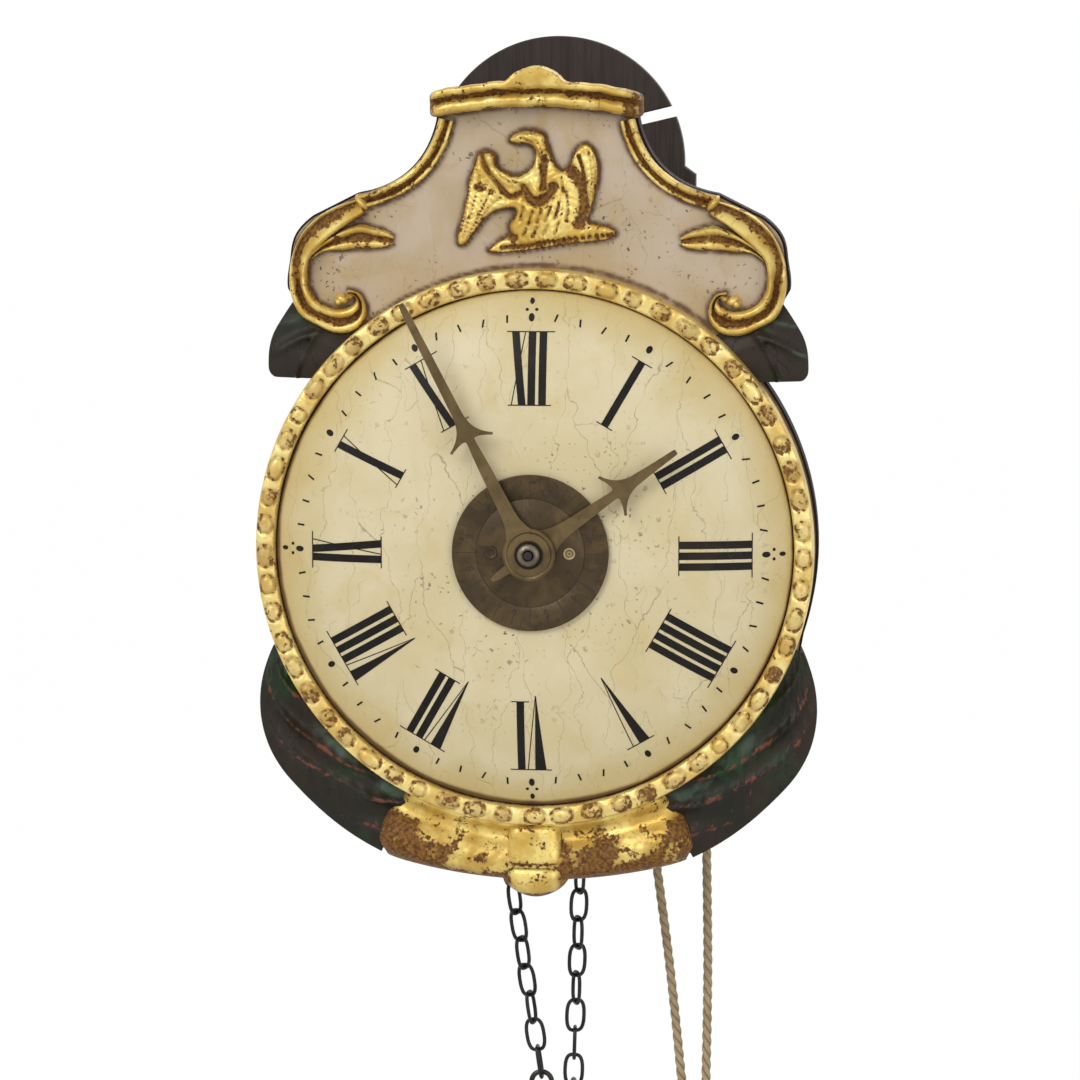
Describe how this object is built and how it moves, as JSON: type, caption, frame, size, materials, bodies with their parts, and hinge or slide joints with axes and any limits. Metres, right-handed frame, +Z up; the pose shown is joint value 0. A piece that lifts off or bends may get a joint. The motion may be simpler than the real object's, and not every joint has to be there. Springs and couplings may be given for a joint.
{
  "type": "black forest wall clock",
  "caption": "Weight-driven wall clock with carved gilt shield, convex dial, pendulum, chain-driven train and a rope-driven alarm with bell.",
  "frame": {"origin": "on the back face of the backboard, where it meets the wall, behind the centre of the dial", "axes": "+X to the right seen from the front, +Y into the wall, +Z up"},
  "size_m": [0.225, 0.1342, 0.4554],
  "materials": {
    "gilt": "worn gilding on carved wood",
    "panel_paint": "aged pinkish paint on wood",
    "dial_paint": "aged cream paint under varnish",
    "leaf_paint": "dark green paint on carved wood",
    "dark_wood": "dark stained wood",
    "beech": "bare wood gone brown",
    "brass": "dull brass",
    "iron": "black iron",
    "bell_metal": "turned bell metal",
    "rope": "twisted hemp"
  },
  "bodies": {
    "frame": {"bezel_ring": "gilt", "crest_cornice": "gilt", "flank_moulding_left": "gilt", "flank_moulding_right": "gilt", "scroll_left": "gilt", "scroll_right": "gilt", "eagle": "gilt", "cartouche": "gilt", "shield_board": "panel_paint", "dial": "dial_paint", "side_leaf_left": "leaf_paint", "side_leaf_right": "leaf_paint", "foliage_left": "leaf_paint", "foliage_right": "leaf_paint", "backboard": "dark_wood", "top_board": "beech", "bottom_board": "beech", "rear_plate": "beech", "front_plate": "beech", "alarm_strip_front": "beech", "alarm_strip_rear": "beech", "suspension_stud": "iron", "centre_stud": "iron", "intermediate_stud": "iron", "bell_post": "iron", "chain": "iron", "chain_hook": "iron", "chain_ring": "iron", "bell": "bell_metal", "rope_over_pulley": "rope", "rope_left_run": "rope", "rope_right_run": "rope", "rope_left_knot": "rope", "rope_right_knot": "rope"},
    "great": {"great_arbor": "iron", "great_wheel": "brass", "chain_sprocket": "brass"},
    "second": {"second_arbor": "iron", "second_wheel": "brass"},
    "third": {"third_arbor": "iron", "third_wheel": "brass"},
    "escape": {"escape_arbor": "iron", "escape_wheel": "brass"},
    "minute_drive": {"minute_wheel": "brass"},
    "anchor": {"anchor": "iron"},
    "pendulum": {"pendulum_rod": "iron", "pendulum_bob": "brass"},
    "minute": {"minute_pipe": "brass", "minute_hand": "brass", "hand_collet": "iron"},
    "intermediate": {"intermediate_wheel": "brass"},
    "hour": {"hour_wheel": "brass", "hour_hand": "brass"},
    "alarm_setting": {"alarm_disc": "brass"},
    "alarm_pulley": {"alarm_arbor": "iron", "rope_pulley": "beech", "crown_wheel": "brass"},
    "hammer": {"verge_hammer": "iron"},
    "door": {"side_door": "beech"}
  },
  "joints": [
    {"name": "minute_turn", "type": "hinge", "parent": "frame", "child": "minute", "pos_m": [0, -0.1, 0], "axis": [0, 1, 0], "continuous": true},
    {"name": "intermediate_turn", "type": "hinge", "parent": "frame", "child": "intermediate", "pos_m": [0, -0.07, 0.023], "axis": [0, 1, 0], "continuous": true},
    {"name": "hour_turn", "type": "hinge", "parent": "frame", "child": "hour", "pos_m": [0, -0.1, 0], "axis": [0, 1, 0], "continuous": true},
    {"name": "alarm_disc_turn", "type": "hinge", "parent": "hour", "child": "alarm_setting", "pos_m": [0, -0.124, 0], "axis": [0, 1, 0], "continuous": true},
    {"name": "third_turn", "type": "hinge", "parent": "frame", "child": "third", "pos_m": [-0.007, -0.05, 0.00679], "axis": [0, 1, 0], "continuous": true},
    {"name": "second_turn", "type": "hinge", "parent": "frame", "child": "second", "pos_m": [-0.007, -0.05, -0.02296], "axis": [0, 1, 0], "continuous": true},
    {"name": "great_turn", "type": "hinge", "parent": "frame", "child": "great", "pos_m": [-0.007, -0.05, -0.05727], "axis": [0, 1, 0], "continuous": true},
    {"name": "escape_turn", "type": "hinge", "parent": "frame", "child": "escape", "pos_m": [-0.007, -0.05, 0.03421], "axis": [0, 1, 0], "continuous": true},
    {"name": "minute_wheel_turn", "type": "hinge", "parent": "frame", "child": "minute_drive", "pos_m": [0, -0.075, 0], "axis": [0, 1, 0], "continuous": true},
    {"name": "pendulum_swing", "type": "hinge", "parent": "frame", "child": "pendulum", "pos_m": [-0.007, -0.0133, 0.05921], "axis": [0, 1, 0], "range_deg": [-4, 4]},
    {"name": "anchor_rock", "type": "hinge", "parent": "frame", "child": "anchor", "pos_m": [-0.007, -0.035, 0.05921], "axis": [0, 1, 0], "range_deg": [-4, 4]},
    {"name": "alarm_turn", "type": "hinge", "parent": "frame", "child": "alarm_pulley", "pos_m": [0.05, -0.05, -0.045], "axis": [0, 1, 0], "continuous": true},
    {"name": "hammer_swing", "type": "hinge", "parent": "frame", "child": "hammer", "pos_m": [0.0534, -0.0311, 0.12], "axis": [0, 0, 1], "range_deg": [-3, 25]},
    {"name": "door_swing", "type": "hinge", "parent": "frame", "child": "door", "pos_m": [-0.0534, -0.0123, 0], "axis": [0, 0, -1], "range_deg": [0, 100]}
  ],
  "couplings": [
    {"joint": "intermediate_turn", "follows": "minute_turn", "ratio": -0.33333},
    {"joint": "hour_turn", "follows": "minute_turn", "ratio": 0.083333},
    {"joint": "second_turn", "follows": "third_turn", "ratio": -0.16667},
    {"joint": "great_turn", "follows": "third_turn", "ratio": 0.020833},
    {"joint": "escape_turn", "follows": "third_turn", "ratio": -6},
    {"joint": "minute_wheel_turn", "follows": "third_turn", "ratio": 0.041667},
    {"joint": "anchor_rock", "follows": "pendulum_swing", "ratio": 1}
  ]
}
